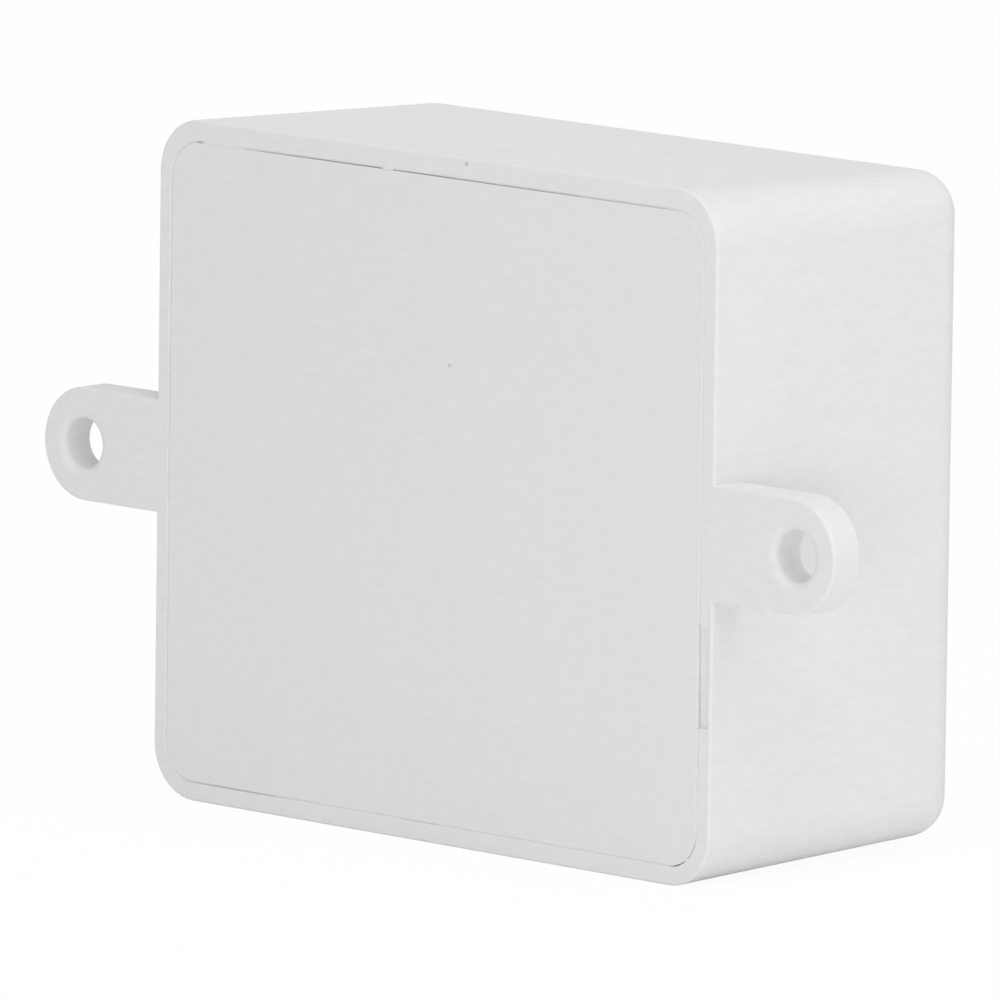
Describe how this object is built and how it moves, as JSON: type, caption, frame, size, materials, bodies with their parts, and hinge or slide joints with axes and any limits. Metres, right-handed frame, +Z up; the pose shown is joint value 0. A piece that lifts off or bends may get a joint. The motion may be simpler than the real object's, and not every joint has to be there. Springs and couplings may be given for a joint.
{
  "type": "smart relay module",
  "caption": "Compact mains relay module: a square off-white housing with two screw ears, an inset rear cover, screw clamp terminals, a pairing button and a status light.",
  "frame": {"origin": "midway between the two ear holes, in the mounting plane that the ears, the rim and the rear cover share", "axes": "+X along the ears, to the right in the picture; +Z up in the picture; +Y from the wall into the module, so the wires enter from -Z"},
  "size_m": [0.0738, 0.0255, 0.0464],
  "materials": {
    "shell": "fine moulded satin, off-white",
    "cover": "fine moulded satin, off-white",
    "button": "satin, pale grey",
    "light_pipe": "clear, slightly frosted end",
    "lamp": "milky epoxy",
    "board": "green solder resist",
    "radio_board": "dark blue solder resist",
    "terminal_body": "moulded polyamide, green",
    "steel": "zinc plated",
    "cage": "nickel plated",
    "brass": "tin flashed",
    "tinned": "tin plated",
    "relay_base": "moulded, black",
    "relay_case": "moulded, blue",
    "former": "moulded, black",
    "copper": "enamelled wire",
    "iron": "nickel plated iron",
    "ferrite": "ground ferrite",
    "tape": "yellow insulating tape",
    "can_sleeve": "shrink sleeve, dark",
    "film_case": "moulded, yellow",
    "fuse_case": "moulded, black",
    "varistor_coat": "dipped coating, blue",
    "chip": "moulded, black, tinned leads",
    "switch_case": "moulded, black",
    "switch_plunger": "moulded, ivory"
  },
  "bodies": {
    "module": {"housing": "shell", "circuit_board": "board", "board_screws": "steel", "terminal_contact_bars": "brass", "relay_base": "relay_base", "relay_cover": "relay_case", "relay_bobbin": "former", "relay_winding": "copper", "relay_core": "iron", "relay_yoke": "iron", "relay_closing_contact": "brass", "relay_resting_contact": "brass", "relay_pins": "tinned", "film_capacitor": "film_case", "fuse": "fuse_case", "varistor": "varistor_coat", "transformer_core": "ferrite", "transformer_bobbin": "former", "transformer_winding": "tape", "input_capacitor": "can_sleeve", "output_capacitor": "can_sleeve", "converter_chip": "chip", "bridge_rectifier": "chip", "radio_board": "radio_board", "radio_shield": "tinned", "switch_body": "switch_case", "status_led": "lamp", "light_pipe": "light_pipe", "terminal_block_1": "terminal_body", "terminal_block_2": "terminal_body", "terminal_block_3": "terminal_body"},
    "cover": {"rear_cover": "cover"},
    "button": {"pairing_button": "button", "switch_plunger": "switch_plunger"},
    "armature": {"relay_armature": "iron", "relay_moving_blade": "brass"},
    "screw_1": {"terminal_screw_1": "steel"},
    "cage_1": {"terminal_cage_1": "cage"},
    "screw_2": {"terminal_screw_2": "steel"},
    "cage_2": {"terminal_cage_2": "cage"},
    "screw_3": {"terminal_screw_3": "steel"},
    "cage_3": {"terminal_cage_3": "cage"},
    "screw_4": {"terminal_screw_4": "steel"},
    "cage_4": {"terminal_cage_4": "cage"},
    "screw_5": {"terminal_screw_5": "steel"},
    "cage_5": {"terminal_cage_5": "cage"},
    "screw_6": {"terminal_screw_6": "steel"},
    "cage_6": {"terminal_cage_6": "cage"}
  },
  "joints": [
    {"name": "cover_pull", "type": "slide", "parent": "module", "child": "cover", "axis": [0, -1, 0], "range_m": [0, 0.03]},
    {"name": "button_press", "type": "slide", "parent": "module", "child": "button", "axis": [0, -1, 0], "range_m": [0, 0.0003], "stiffness_N_per_m": 500, "springref_m": -0.0005},
    {"name": "armature_pull", "type": "hinge", "parent": "module", "child": "armature", "pos_m": [-0.0061, 0.01885, -0.00425], "axis": [0, 0, 1], "range_deg": [0, 3], "stiffness_Nm_per_rad": 0.01, "springref_deg": -5.73},
    {"name": "screw_1_turn", "type": "hinge", "parent": "module", "child": "screw_1", "pos_m": [-0.01588, 0.0187, -0.0165], "axis": [0, -1, 0], "range_deg": [0, 2160]},
    {"name": "cage_1_rise", "type": "slide", "parent": "module", "child": "cage_1", "axis": [0, 1, 0], "range_m": [0, 0.003]},
    {"name": "screw_2_turn", "type": "hinge", "parent": "module", "child": "screw_2", "pos_m": [-0.00953, 0.0187, -0.0165], "axis": [0, -1, 0], "range_deg": [0, 2160]},
    {"name": "cage_2_rise", "type": "slide", "parent": "module", "child": "cage_2", "axis": [0, 1, 0], "range_m": [0, 0.003]},
    {"name": "screw_3_turn", "type": "hinge", "parent": "module", "child": "screw_3", "pos_m": [-0.00317, 0.0187, -0.0165], "axis": [0, -1, 0], "range_deg": [0, 2160]},
    {"name": "cage_3_rise", "type": "slide", "parent": "module", "child": "cage_3", "axis": [0, 1, 0], "range_m": [0, 0.003]},
    {"name": "screw_4_turn", "type": "hinge", "parent": "module", "child": "screw_4", "pos_m": [0.00317, 0.0187, -0.0165], "axis": [0, -1, 0], "range_deg": [0, 2160]},
    {"name": "cage_4_rise", "type": "slide", "parent": "module", "child": "cage_4", "axis": [0, 1, 0], "range_m": [0, 0.003]},
    {"name": "screw_5_turn", "type": "hinge", "parent": "module", "child": "screw_5", "pos_m": [0.00953, 0.0187, -0.0165], "axis": [0, -1, 0], "range_deg": [0, 2160]},
    {"name": "cage_5_rise", "type": "slide", "parent": "module", "child": "cage_5", "axis": [0, 1, 0], "range_m": [0, 0.003]},
    {"name": "screw_6_turn", "type": "hinge", "parent": "module", "child": "screw_6", "pos_m": [0.01588, 0.0187, -0.0165], "axis": [0, -1, 0], "range_deg": [0, 2160]},
    {"name": "cage_6_rise", "type": "slide", "parent": "module", "child": "cage_6", "axis": [0, 1, 0], "range_m": [0, 0.003]}
  ],
  "couplings": [
    {"joint": "screw_1_turn", "follows": "cage_1_rise", "rad_per_m": 12566},
    {"joint": "screw_2_turn", "follows": "cage_2_rise", "rad_per_m": 12566},
    {"joint": "screw_3_turn", "follows": "cage_3_rise", "rad_per_m": 12566},
    {"joint": "screw_4_turn", "follows": "cage_4_rise", "rad_per_m": 12566},
    {"joint": "screw_5_turn", "follows": "cage_5_rise", "rad_per_m": 12566},
    {"joint": "screw_6_turn", "follows": "cage_6_rise", "rad_per_m": 12566}
  ]
}
